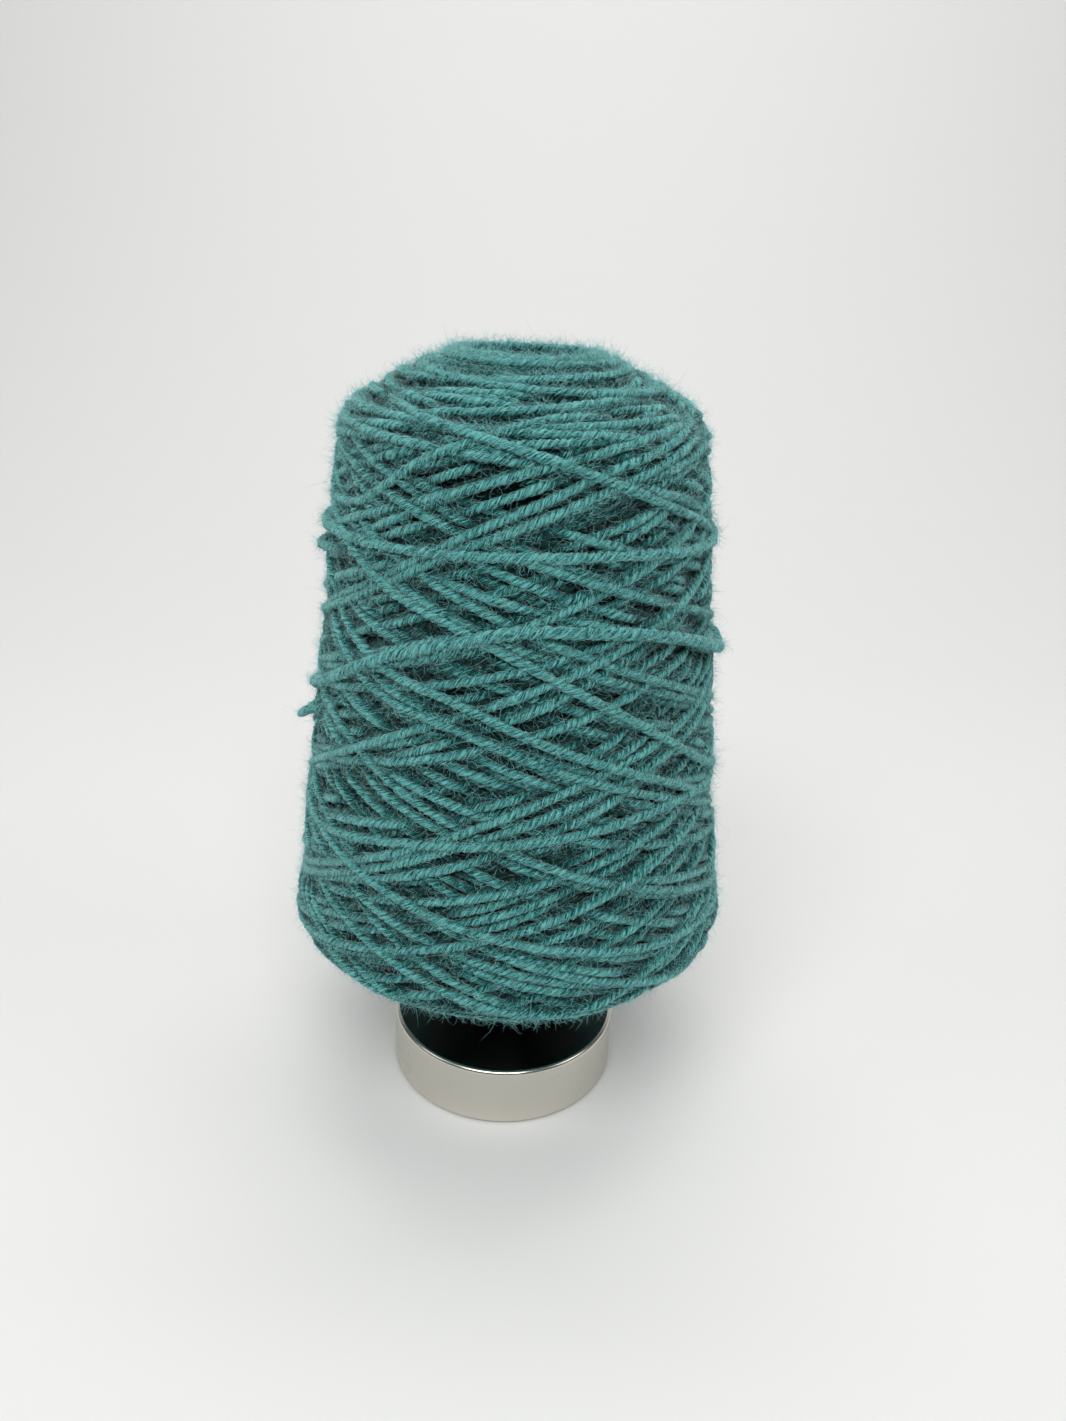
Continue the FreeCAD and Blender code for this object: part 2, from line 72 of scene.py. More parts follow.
SIDE_BLUR = 5.0             # length over which that change is smoothed
RUN_STEP = 0.5              # rows between the points of a run
RUN_START = 0.5             # length added at both ends of a run, so that it never lies quite level
FALL_SHIFT = 0.7            # angle from a rising run's place to its falling run's place
PLACE_WANDER = 0.05         # slow drift of the runs' places, as an angle
PLACE_JITTER = 0.016        # random shift of each run's place, as an angle
PACE_WANDER = 0.16          # drift of the winding's slope from pair to pair
PACE_LIMITS = (0.65, 1.4)
COURSE_BLUR = 12            # cells round the package over which a strand's course is smoothed
SIDEWAYS_WANDER = 0.38      # how far a strand strays from its course
SIDEWAYS_WAVE = 29.0        # longest wave of that, as an angle
END_WANDER = 1.6            # how much more it strays on the rounded top and the underside
TYPICAL_RADIUS = 45.0       # turns an angle into a length along a strand
SQUASH = 0.42               # how much of its thickness a strand keeps where it crosses another
EXTRA_DEPTH = 0.50          # every strand lies this share of its radius deeper than it rests
THINNEST_COVER = 0.02       # least depth that a strand leaves on the map
TOUCH_WIDTH = 0.93          # a strand rests on what is within this share of its radius
SIGHT_WIDTH = 1.4           # and is in sight if some of the surface this near it is still bare
JOIN_LENGTH = 4.0           # length over which one half turn eases into the next
TAUT_REACH = 1.6            # a tight strand stays down this far either side of one that crosses it
TAUT_BLUR = 1.8             # and comes back up over about this length
DEEPEST = 3.2               # the more strands lie over one, the closer it gets to this depth
SIGHT_MARGIN = 10           # points that are kept beyond where a strand goes out of sight
SHORTEST_STRETCH = 24       # points in the shortest stretch that is built
LOOSE_RELIEF = 1.25         # how strongly the plies show on a loose turn
TIGHT_RELIEF = 0.70         # and on a tight one
LOOSE_THICKNESS = 1.05      # a turn thicker than this counts as a loose one
PLY_ROUGHNESS = 0.10        # random unevenness of the plies' surface
TWIST_WANDER = 0.45         # unevenness of the twist, as an angle
THICKNESS_WANDER = 0.06
START_RANGE = 400           # a strand's twist and streaks start anywhere within this length
FACES_PER_PIECE = 180000    # a mesh piece is closed once it passes this

GRID_STEP = 0.4             # cells of the depth map, along the package's outline
GRID_COLUMNS = 1024         # cells of the depth map round the package


def chaikin(points, rounds):
    """Round a polyline's corners by cutting them, with its two ends kept."""
    points = np.asarray(points, float)
    for _ in range(rounds):
        near = 0.75 * points[:-1] + 0.25 * points[1:]
        far = 0.25 * points[:-1] + 0.75 * points[1:]
        cut = np.stack([near, far], axis=1).reshape(-1, 2)
        points = np.concatenate([points[:1], cut, points[-1:]])
    return points


def package_outline():
    """(radius, height) along the package's outline, from its foot over the top to its inner edge."""
    low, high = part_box("yarn_package")
    core_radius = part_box("cone_core")[1].x / MM
    widest, foot, top = high.x / MM, low.z / MM, high.z / MM
    corners = [
        (core_radius + 1.3, foot + 0.4),
        (core_radius + 12.0, foot + 11.0),
        (widest - 4.4, foot + 21.4),
        (widest + 0.5, foot + 24.3),
        (widest - 1.5, foot + 30.5),
        (39.3, top - 21.0),
        (38.5, top - 12.2),
        (29.0, top - 6.4),
        (19.5, top - 1.9),
        (13.0, top + 0.5),
        (9.9, top - 3.8),
    ]
    smooth = chaikin(corners, 4)
    steps = np.linalg.norm(np.diff(smooth, axis=0), axis=1)
    along = np.concatenate([[0.0], np.cumsum(steps)])
    places = np.arange(0.0, along[-1], GRID_STEP)
    radius = np.interp(places, along, smooth[:, 0])
    height = np.interp(places, along, smooth[:, 1])
    return radius, height


OUTLINE_RADIUS, OUTLINE_HEIGHT = package_outline()
ROWS = len(OUTLINE_RADIUS)
SLOPE_R = np.gradient(OUTLINE_RADIUS, GRID_STEP)
SLOPE_Z = np.gradient(OUTLINE_HEIGHT, GRID_STEP)


def at_row(values, row):
    """A value of the outline at a row that may lie between two cells."""
    return np.interp(row, np.arange(ROWS), values)


def surface_point(angle, row, lift):
    """Points of the package, in mm. Angle 0 faces the front, and lift is off the package's surface."""
    slope_r, slope_z = at_row(SLOPE_R, row), at_row(SLOPE_Z, row)
    size = np.hypot(slope_r, slope_z)
    radius = at_row(OUTLINE_RADIUS, row) + lift * slope_z / size
    height = at_row(OUTLINE_HEIGHT, row) - lift * slope_r / size
    return np.stack([radius * np.sin(angle), -radius * np.cos(angle), height], axis=-1)


def surface_normal(angle, row):
    """The package's outward normals at these places."""
    slope_r, slope_z = at_row(SLOPE_R, row), at_row(SLOPE_Z, row)
    size = np.hypot(slope_r, slope_z)
    out = slope_z / size
    return np.stack([out * np.sin(angle), -out * np.cos(angle), -slope_r / size], axis=-1)


def wander(places, amplitude, longest, count=5):
    """A smooth random wave along a line, with its longest wavelength given."""
    wave = np.zeros_like(places)
    for index in range(count):
        length = longest / (1.0 + index * 0.9)
        wave += rng.normal() * np.sin(TURN * places / length + rng.uniform(0, TURN))
    return wave * amplitude / math.sqrt(count)


def blurred(values, cells):
    """A line of values smoothed by a bell curve of that many cells."""
    reach = max(1, int(3 * cells))
    bell = np.exp(-0.5 * (np.arange(-reach, reach + 1) / cells) ** 2)
    padded = np.pad(values, reach, mode="edge")
    return np.convolve(padded, bell / bell.sum(), mode="valid")


def rolling_most(values, cells):
    """The largest value within that many cells either side."""
    padded = np.pad(values, cells, mode="edge")
    return np.lib.stride_tricks.sliding_window_view(padded, 2 * cells + 1).max(axis=1)


class Cover:
    """How deep the yarn placed so far reaches under the package's surface. The outermost turn is
    placed first, and each older one is tucked under those that cross it."""

    def __init__(self):
        self.depth = np.zeros((GRID_COLUMNS, ROWS))
        reach = int(STRAND_RADIUS / GRID_STEP) + 3
        self.window = np.arange(-reach, reach + 1)

    def cells(self, angle, row):
        """The columns and rows of the map over a strand, and how far each is off its middle."""
        column = np.round(angle / TURN * GRID_COLUMNS).astype(int) % GRID_COLUMNS
        rows = np.round(row).astype(int)[:, None] + self.window[None, :]
        off = (rows - row[:, None]) * GRID_STEP
        return column[:, None], np.clip(rows, 0, ROWS - 1), off

    def tuck(self, angle, row, lift=None):
        """Place a strand under the cover. Returns the depth of its middle, and where it shows."""
        if lift is None:
            lift = np.zeros(len(angle))
        depth = np.zeros(len(angle))
        shown = np.zeros(len(angle), bool)
        step = abs(angle[1] - angle[0]) * TYPICAL_RADIUS
        reach = max(1, int(TAUT_REACH / step))
        settled = 0.0
        half_turn = GRID_COLUMNS // 2
        for start in range(0, len(angle), half_turn):
            part = slice(start, min(start + half_turn, len(angle)))
            column, rows, off = self.cells(angle[part], row[part])
            cover = self.depth[column, rows]
            bulge = SQUASH * np.sqrt(np.maximum(STRAND_RADIUS ** 2 - off ** 2, 0.0))
            touching = np.abs(off) < TOUCH_WIDTH * STRAND_RADIUS
            needed = np.where(touching, cover + bulge, 0.0).max(axis=1)
            tucked = blurred(rolling_most(needed, reach), TAUT_BLUR / step)
            if start:
                fade = np.exp(-np.arange(len(tucked)) * step / JOIN_LENGTH)
                tucked = tucked + (settled - tucked[0]) * fade
            settled = tucked[-1]
            middle = tucked - lift[part]
            depth[part] = middle + EXTRA_DEPTH * STRAND_RADIUS
            beside = np.abs(off) < SIGHT_WIDTH * STRAND_RADIUS
            shown[part] = (beside & (cover <= 0.0)).any(axis=1)
            reached = np.maximum(middle[:, None] + bulge, THINNEST_COVER)
            under = np.where(bulge > 0, reached, 0.0)
            spot = (np.broadcast_to(column, rows.shape), rows)
            np.maximum.at(self.depth, spot, under)
        sunk = np.maximum(depth, 0.0)
        pressed = DEEPEST * (1.0 - np.exp(-sunk / DEEPEST))
        return np.where(depth > 0.0, pressed, depth), shown


def end_rows(count, near, far):
    """Random rows where the traverse turns back, mostly close to the far one."""
    share = rng.uniform(size=count) ** TURN_CROWDING
    return (far + (near - far) * share) * (ROWS - 1)


def steepness():
    """Slope of the winding at each row: even on the side, flat on the top and the underside."""
    side = np.clip((SLOPE_Z - SIDE_STEEPNESS) / SIDE_BLEND, 0.0, 1.0)
    side = blurred(side, SIDE_BLUR / GRID_STEP)
    return math.tan(WIND_ANGLE) * (END_WIND_SHARE + (1.0 - END_WIND_SHARE) * side)


def stroke(low, high, slopes):
    """Angle and row of one run from the low row to the high row, starting at angle 0."""
    rows = np.arange(low, high, RUN_STEP)
    to_end = np.minimum(rows - low, high - rows) * GRID_STEP
    slope = at_row(slopes, rows) * (1.0 - np.exp(-(to_end + RUN_START) / TURN_BACK))
    angle = np.cumsum(RUN_STEP * GRID_STEP / (at_row(OUTLINE_RADIUS, rows) * slope))
    middle_angle = np.interp((ROWS - 1) / 2, rows, angle)
    return angle, rows, middle_angle


def wound_yarn():
    """Angle and row all along the machine-wound yarn, from its outer end inwards."""
    slopes = steepness()
    lows = end_rows(STROKE_PAIRS + 1, *LOW_TURNS)
    highs = end_rows(STROKE_PAIRS + 1, *HIGH_TURNS)
    order = np.arange(float(STROKE_PAIRS))
    groups = TURN * (WAYS_ROUND // 2 + 1) / WAYS_ROUND * order + GROUP_SHIFT * order / WAYS_ROUND
    rising_places = groups + wander(order, PLACE_WANDER, 31.0)
    rising_places = rising_places + rng.normal(size=STROKE_PAIRS) * PLACE_JITTER
    falling_places = groups + FALL_SHIFT + wander(order, PLACE_WANDER, 23.0)
    falling_places = falling_places + rng.normal(size=STROKE_PAIRS) * PLACE_JITTER
    pace = np.clip(1.0 + wander(order, PACE_WANDER, 17.0), *PACE_LIMITS)
    grid_angle = TURN / GRID_COLUMNS
    angle_now = 0.0
    angles, rows = [], []
    for pair in range(STROKE_PAIRS):
        for rising in (True, False):
            low = lows[pair] if rising else lows[pair + 1]
            angle, row, middle_angle = stroke(low, highs[pair], slopes * pace[pair])
            length = angle[-1]
            if not rising:
                angle, row, middle_angle = length - angle[::-1], row[::-1], length - middle_angle
            place = rising_places[pair] if rising else falling_places[pair]
            dwell = (place - middle_angle - angle_now) % TURN
            angles.append(angle_now + dwell + angle)
            rows.append(row)
            angle_now += dwell + length
    angles, rows = np.concatenate(angles), np.concatenate(rows)
    even = np.arange(angles[0], angles[-1], grid_angle)
    row = np.interp(even, angles, rows)
    ends = 1.0 - at_row(slopes, row) / slopes.max()
    stray = wander(even, SIDEWAYS_WANDER, SIDEWAYS_WAVE, 9)
    row = blurred(row, COURSE_BLUR) + stray * (1.0 + END_WANDER * ends) / GRID_STEP
    row = np.clip(row, 1, ROWS - 2)
    return even[::-1], row[::-1]


def rows_at_height(height):
    """The row of the outline at a height above the table, on the package's side."""
    return np.interp(height, OUTLINE_HEIGHT, np.arange(ROWS))


# Turns that lie on the outside, outermost first: how thick each is against the others, and points
# along it as (angle from the front in degrees, height, how far it stands off the package).
LOOSE_TURNS = [
    (1.32, [
        (-125, 99, 0.1), (-95, 104, 0.6), (-80, 107, 1.4), (-67, 111, 0.8), (-34, 125, 0.8),
        (0, 133, 0.9), (34, 131, 1.0), (60, 125, 1.4), (78, 119, 2.4), (92, 116, 2.4),
        (115, 112, 0.8), (145, 108, 0.1),
    ]),
    (0.90, [
        (-68, 105, 0.2), (-75, 102, 2.4), (-79, 99, 4.4), (-82, 98, 3.8), (-85, 100, 1.6),
        (-89, 103, 0.2),
    ]),
    (1.00, [
        (-60, 141, 0.2), (-73, 139.5, 1.0), (-80, 138, 2.9), (-86, 138, 2.0), (-98, 140, 0.2),
    ]),
    (1.00, [
        (58, 124, 0.1), (72, 121, 0.8), (80, 119.5, 2.6), (87, 120, 2.0), (99, 123, 0.1),
    ]),
    (1.12, [
        (-150, 148, 0.1), (-108, 145, 0.2), (-88, 143.5, 1.2), (-79, 143.5, 1.9),
        (-66, 144, 0.8), (-37, 145, 0.4), (-3, 146, 0.3), (30, 146, 0.4), (66, 143.5, 0.7),
        (79, 143, 1.5), (95, 144, 0.9), (140, 147, 0.1),
    ]),
    (1.04, [
        (-60, 172, 0.1), (-11, 167, 0.1), (15, 162, 0.2), (45, 154, 0.1), (95, 141, 0.1),
        (150, 128, 0.0),
    ]),
    (1.08, [
        (-100, 158, 0.2), (-38, 137, 0.3), (-14, 132, 0.4), (8, 124, 0.4), (33, 113, 0.4),
        (65, 96, 0.4), (120, 78, 0.1),
    ]),
    (1.04, [
        (-120, 86, 0.1), (-56, 79, 0.1), (-24, 73, 0.1), (-4, 69, 0.1), (40, 61, 0.1),
        (100, 55, 0.1),
    ]),
    (1.06, [
        (-150, 77, 0.1), (-63, 79, 0.2), (-25, 87, 0.2), (5, 90, 0.3), (40, 93, 0.3),
        (110, 88, 0.1),
    ]),
    (1.00, [
        (-170, 139, 0.0), (-120, 146, 0.0), (-75, 150, 0.0), (-50, 151, 0.0), (-30, 162, 0.0),
        (0, 170, 0.0), (30, 171, 0.0),
    ]),
    (1.00, [
        (-130, 114, 0.0), (-80, 124, 0.0), (-50, 133, 0.0), (-18, 146, 0.0), (20, 157, 0.0),
        (70, 167, 0.0),
    ]),
    (1.00, [
        (-125, 104, 0.0), (-74, 127, 0.0), (-44, 137, 0.0), (-16, 149, 0.0), (22, 161, 0.0),
        (75, 170, 0.0),
    ]),
    (1.04, [
        (-92, 143, 0.1), (-39, 121, 0.2), (-14, 118, 0.2), (8, 110, 0.2), (33, 102, 0.2),
        (80, 84, 0.1),
    ]),
    (1.00, [
        (-86, 136, 0.0), (-42, 116, 0.0), (-12, 112, 0.0), (10, 105, 0.0), (36, 97, 0.0),
        (84, 80, 0.0),
    ]),
    (1.02, [
        (-110, 74, 0.0), (-47, 102, 0.1), (-23, 112, 0.1), (5, 121, 0.1), (40, 131, 0.1),
        (95, 146, 0.0),
    ]),
    (1.00, [
        (-80, 62, 0.0), (-5, 94, 0.1), (18, 102, 0.1), (46, 108, 0.1), (100, 121, 0.0),
    ]),
    (1.00, [
        (-84, 58, 0.0), (-8, 90, 0.0), (18, 98, 0.0), (46, 104, 0.0), (100, 117, 0.0),
    ]),
]


END_FADE = 18.0             # degrees over which such a turn's end sinks among the others
SHORT_END_FADE = 0.3        # or this share of a short turn, if that is less
END_SINK = 2.4              # how deep it sinks
BEND_BLUR = 0.02            # share of a full turn over which its bends are smoothed
SHORT_BEND_BLUR = 0.12      # or this share of a short turn, if that is less


def loose_turn(waypoints):
    """Angle, row and lift along one loose turn, with both ends sunk among the others."""
    degrees, heights, lifts = np.array(waypoints, float).T
    span = abs(degrees[-1] - degrees[0])
    sign = 1.0 if degrees[-1] > degrees[0] else -1.0
    count = int(span / 360 * GRID_COLUMNS)
    place = np.linspace(degrees[0], degrees[-1], count)
    softness = min(BEND_BLUR, SHORT_BEND_BLUR * span / 360) * GRID_COLUMNS
    height = blurred(np.interp(sign * place, sign * degrees, heights), softness)
    lift = blurred(np.interp(sign * place, sign * degrees, lifts), softness)
    to_end = np.minimum(abs(place - place[0]), abs(place[-1] - place))
    inside = np.clip(to_end / min(END_FADE, SHORT_END_FADE * span), 0.0, 1.0)
    sunk_lift = lift * inside - END_SINK * (1.0 - inside) ** 2
    return np.radians(place), rows_at_height(height), sunk_lift


def visible_stretches(angle, row, depth, shown, thickness=1.0):
    """Cut a strand into the stretches that are in sight: angle, row, height and thickness."""
    grown = rolling_most(shown.astype(float), SIGHT_MARGIN) > 0.5
    edges = np.flatnonzero(np.diff(np.concatenate([[0], grown.astype(int), [0]])))
    for start, stop in zip(edges[::2], edges[1::2]):
        if stop - start > SHORTEST_STRETCH:
            yield angle[start:stop], row[start:stop], -depth[start:stop], thickness


def ply_section():
    """Distance from a strand's middle to its surface at each rail, and the rails' angles."""
    ply = PLY_RADIUS_SHARE
    middle = 1.0 - ply
    within = np.linspace(-0.5, 0.5, RAILS_PER_PLY, endpoint=False) * TURN / PLY_COUNT
    distance = middle * np.cos(within) + np.sqrt(ply ** 2 - (middle * np.sin(within)) ** 2)
    angles = [within + index * TURN / PLY_COUNT for index in range(PLY_COUNT)]
    return np.tile(distance, PLY_COUNT), np.concatenate(angles)


SECTION_DISTANCE, SECTION_ANGLE = ply_section()
RAILS = len(SECTION_ANGLE)


class MeshBuffer:
    """Gathers the vertices, faces and per-vertex values of many small closed shapes."""

    def __init__(self):
        self.points, self.quads, self.fans = [], [], []
        self.along, self.around, self.depth, self.ply_shading = [], [], [], []
        self.count = 0
        self.faces = 0

    def add(self, points, quads, fans, along, around, depth, ply_shading):
        """Add one shape: its four-sided and three-sided faces, and its values for the material."""
        self.points.append(points)
        self.quads.append(quads + self.count)
        self.fans.append(fans + self.count)
        self.along.append(along)
        self.around.append(around)
        self.depth.append(depth)
        self.ply_shading.append(ply_shading)
        self.count += len(points)
        self.faces += 2 * len(quads) + len(fans)

    def build(self, name, material):
        """Make one Blender piece of all that was added, riding on the cone."""
        points = np.concatenate(self.points) * MM
        quads = np.concatenate(self.quads)
        fans = np.concatenate(self.fans)
        mesh = bpy.data.meshes.new(name)
        mesh.vertices.add(len(points))
        mesh.vertices.foreach_set("co", points.astype(np.float32).ravel())
        loops = np.concatenate([quads.ravel(), fans.ravel()]).astype(np.int32)
        sizes = np.concatenate([np.full(len(quads), 4), np.full(len(fans), 3)])
        starts = np.concatenate([[0], np.cumsum(sizes)[:-1]]).astype(np.int32)
        mesh.loops.add(len(loops))
        mesh.loops.foreach_set("vertex_index", loops)
        mesh.polygons.add(len(sizes))
        mesh.polygons.foreach_set("loop_start", starts)
        mesh.update(calc_edges=True)
        mesh.polygons.foreach_set("use_smooth", np.ones(len(sizes), bool))
        for label, values in (("along", self.along), ("around", self.around),
                              ("depth", self.depth), ("ply_shading", self.ply_shading)):
            layer = mesh.attributes.new(label, "FLOAT", "POINT")
            layer.data.foreach_set("value", np.concatenate(values).astype(np.float32))
        mesh.materials.append(material)
        piece = bpy.data.objects.new(name, mesh)
        bpy.context.scene.collection.objects.link(piece)
        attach(piece, "cone")


def resampled(angle, row, height, step):
    """A stretch of strand as evenly spaced points in mm, with its normals and its heights."""
    path = surface_point(angle, row, height)
    gaps = np.linalg.norm(np.diff(path, axis=0), axis=1)
    along = np.concatenate([[0.0], np.cumsum(gaps)])
    count = max(4, int(along[-1] / step))
    places = np.linspace(0.0, along[-1], count)
    even = np.stack([np.interp(places, along, path[:, axis]) for axis in range(3)], axis=-1)
    normal = surface_normal(np.interp(places, along, angle), np.interp(places, along, row))
    return places, even, normal, np.interp(places, along, height)


def strand_mesh(buffer, angle, row, height, thickness):
    """Add one visible stretch of strand as a closed, twisted three-ply tube."""
    places, path, normal, height = resampled(angle, row, height, RING_STEP)
    tangent = np.gradient(path, axis=0)
    tangent /= np.linalg.norm(tangent, axis=1, keepdims=True)
    side = np.cross(tangent, normal)
    side /= np.linalg.norm(side, axis=1, keepdims=True)
    up = np.cross(side, tangent)
    start = rng.uniform(0, START_RANGE)
    twist = -TURN * (places + start) / (LAY_LENGTH * thickness)
    twist = twist + wander(places, TWIST_WANDER, 38.0, 4)
    thick = STRAND_RADIUS * thickness * (1.0 + wander(places, THICKNESS_WANDER, 40.0, 5))
    turn = twist[:, None] + SECTION_ANGLE[None, :]
    relief = LOOSE_RELIEF if thickness > LOOSE_THICKNESS else TIGHT_RELIEF
    section = 1.0 + relief * (SECTION_DISTANCE - 1.0)
    reach = thick[:, None] * section[None, :]
    reach = reach * (1.0 + PLY_ROUGHNESS * rng.normal(size=reach.shape))
    rise = reach * np.cos(turn)
    rings = (path[:, None, :]
             + rise[:, :, None] * up[:, None, :]
             + (reach * np.sin(turn))[:, :, None] * side[:, None, :])
    count = len(path)
    points = np.concatenate([rings.reshape(-1, 3), path[:1], path[-1:]])
    ring, rail = np.meshgrid(np.arange(count - 1), np.arange(RAILS), indexing="ij")
    here = ring * RAILS + rail
    beside = ring * RAILS + (rail + 1) % RAILS
    quads = np.stack([here, here + RAILS, beside + RAILS, beside], axis=-1).reshape(-1, 4)
    rails = np.arange(RAILS)
    following = (rails + 1) % RAILS
    first, last = count * RAILS, count * RAILS + 1
    bottom = (count - 1) * RAILS
    near_cap = np.stack([np.full(RAILS, first), rails, following], axis=-1)
    far_cap = np.stack([np.full(RAILS, last), bottom + following, bottom + rails], axis=-1)
    fans = np.concatenate([near_cap, far_cap])
    places = places + start
    along = np.concatenate([np.repeat(places, RAILS), places[[0, -1]]])
    around = np.concatenate([np.tile(np.arange(RAILS) / RAILS, count), [0.0, 0.0]])
    depth = np.concatenate([np.repeat(height, RAILS) + rise.ravel(), height[[0, -1]]])
    crown = (SECTION_DISTANCE - SECTION_DISTANCE.min()) / np.ptp(SECTION_DISTANCE)
    # painted shade: low on the rails in the creases between plies and high on the crowns, so the wool
    # material darkens the creases
    ply_shading = np.concatenate([np.tile(crown, count), [0.0, 0.0]])
    buffer.add(points, quads, fans, along, around, depth, ply_shading)


def build_pieces(name, items, add_item, material):
    """Gather many small shapes into numbered pieces, each closed once it has faces enough."""
    number = 1
    buffer = MeshBuffer()
    for item in items:
        add_item(buffer, item)
        if buffer.faces > FACES_PER_PIECE:
            buffer.build(f"{name}_{number:02d}", material)
            buffer = MeshBuffer()
            number += 1
    if buffer.count:
        buffer.build(f"{name}_{number:02d}", material)


# ---------------------------------------------------------------- loose fibres
FIBRE_RADIUS = 0.033
FIBRE_TIP = 0.45            # a hair's thickness just before its point, as a share of its root's
FIBRE_ROOT_DEPTH = 0.88     # hairs start at this share of the strand's radius
FIBRE_LEAN = 1.1            # how far round the strand from its top they start, as an angle
FIBRE_SCATTER = 0.35        # random part of the direction in which they start
FIBRE_WOBBLE = 0.16         # random part of each bend
FIBRE_BEND_DRIFT = 0.5      # random change of the way they bend, from one ring to the next
FIBRES_PER_BATCH = 3000
# How many, shortest and longest, how steeply they leave the strand, how much they curl, and of how
# many rings each is made.
FIBRE_KINDS = [
    (50000, 1.2, 2.8, 0.22, 0.75, 4),
    (56000, 1.6, 4.4, 0.80, 0.95, 5),
    (2600, 4.0, 8.0, 0.60, 0.80, 9),
]


def fibre_roots(stretches, count):
    """Random places on the visible strands, mostly on outer ones: the point, the direction along the
    strand, and the outward normal."""
    lengths = np.array([len(stretch[0]) for stretch in stretches], float)
    outer = lengths * np.exp([np.mean(np.minimum(stretch[2], 0.0)) for stretch in stretches])
    chosen = rng.choice(len(stretches), size=count, p=outer / outer.sum())
    roots, directions, normals = [], [], []
    for index, times in zip(*np.unique(chosen, return_counts=True)):
        angle, row, height, _ = stretches[index]
        spot = rng.integers(1, len(angle) - 1, size=times)
        point = surface_point(angle[spot], row[spot], height[spot])
        ahead = surface_point(angle[spot + 1], row[spot + 1], height[spot + 1])
        behind = surface_point(angle[spot - 1], row[spot - 1], height[spot - 1])
        along = ahead - behind
        along /= np.linalg.norm(along, axis=1, keepdims=True)
        roots.append(point)
        directions.append(along)
        normals.append(surface_normal(angle[spot], row[spot]))
    return np.concatenate(roots), np.concatenate(directions), np.concatenate(normals)


def unit(vectors):
    """The vectors, each made one long."""
    return vectors / np.linalg.norm(vectors, axis=-1, keepdims=True)


def curly_paths(roots, directions, normals, length, rise, curl, rings):
    """Random curly lines that leave the strand's surface, as (fibre, ring, xyz)."""
    count = len(roots)
    side = np.cross(directions, normals)
    lean = rng.uniform(-FIBRE_LEAN, FIBRE_LEAN, size=(count, 1))
    out = unit(normals * np.cos(lean) + side * np.sin(lean))
    heading = unit(directions * rng.choice([-1.0, 1.0], size=(count, 1))
                   + out * rise + FIBRE_SCATTER * rng.normal(size=(count, 3)))
    point = roots + out * STRAND_RADIUS * FIBRE_ROOT_DEPTH
    bend_axis = unit(rng.normal(size=(count, 3)))
    bend = rng.normal(size=(count, 1)) * curl
    step = length / (rings - 1)
    path = [point]
    for _ in range(rings - 1):
        point = point + heading * step[:, None]
        path.append(point)
        heading = unit(heading + np.cross(bend_axis, heading) * bend
                       + FIBRE_WOBBLE * rng.normal(size=(count, 3)))
        bend_axis = unit(bend_axis + FIBRE_BEND_DRIFT * rng.normal(size=(count, 3)))
    return np.stack(path, axis=1)


def fibre_mesh(buffer, paths):
    """Add thin three-sided closed hairs that taper to a point along their paths."""
    count, rings = paths.shape[:2]
    tangent = unit(np.gradient(paths, axis=1))
    side = unit(np.cross(tangent, rng.normal(size=(count, 1, 3))))
    other = np.cross(tangent, side)
    taper = np.linspace(1.0, FIBRE_TIP, rings - 1)
    corners = []
    for corner in range(3):
        angle = TURN * corner / 3
        arm = math.cos(angle) * side + math.sin(angle) * other
        corners.append(paths[:, :-1] + FIBRE_RADIUS * taper[None, :, None] * arm[:, :-1])
    body = np.stack(corners, axis=2).reshape(count, -1, 3)
    points = np.concatenate([body, paths[:, -1:]], axis=1)
    per_fibre = points.shape[1]
    quads, fans = [], [(0, 2, 1)]
    for ring in range(rings - 2):
        for corner in range(3):
            here, beside = ring * 3 + corner, ring * 3 + (corner + 1) % 3
            quads.append((here, beside, beside + 3, here + 3))
    last = (rings - 2) * 3
    for corner in range(3):
        fans.append((last + corner, last + (corner + 1) % 3, per_fibre - 1))
    offsets = (np.arange(count) * per_fibre)[:, None, None]
    all_quads = (np.array(quads)[None] + offsets).reshape(-1, 4)
    all_fans = (np.array(fans)[None] + offsets).reshape(-1, 3)
    flat = points.reshape(-1, 3)
    spread = np.repeat(rng.uniform(0, START_RANGE, size=count), per_fibre)
    none = np.zeros(len(flat))
    buffer.add(flat, all_quads, all_fans, spread, none, none, none + 1.0)


# ---------------------------------------------------------------- materials
def new_material(name):
    """An empty material, with its node tree and its shader."""
    material = bpy.data.materials.new(name)
    material.use_nodes = True
    tree = material.node_tree
    shader = tree.nodes["Principled BSDF"]
    return material, tree, shader


def node(tree, kind, **settings):
    """A new node of this kind, with its settings set."""
    made = tree.nodes.new(kind)
    for key, value in settings.items():
        setattr(made, key, value)
    return made


def noise(tree, vector, scale, detail=3.0, roughness=0.5):
    """A noise texture's level at each place."""
    made = node(tree, "ShaderNodeTexNoise")
    made.inputs["Scale"].default_value = scale
    made.inputs["Detail"].default_value = detail
    made.inputs["Roughness"].default_value = roughness
    tree.links.new(vector, made.inputs["Vector"])
    return made.outputs["Fac"]


def ramp(tree, factor, stops):
    """A colour that follows a level through (level, colour) stops."""
    made = node(tree, "ShaderNodeValToRGB")
    while len(made.color_ramp.elements) < len(stops):
        made.color_ramp.elements.new(0.5)
    for element, (position, colour) in zip(made.color_ramp.elements, stops):
        element.position = position
        element.color = (*colour, 1.0)
    tree.links.new(factor, made.inputs["Fac"])
    return made.outputs["Color"]


def mixed(tree, factor, first, second):
    """One colour turning into another as the factor goes from 0 to 1."""
    made = node(tree, "ShaderNodeMix", data_type="RGBA")
    for socket, source in zip((0, 6, 7), (factor, first, second)):
        tree.links.new(source, made.inputs[socket])
    return made.outputs[2]


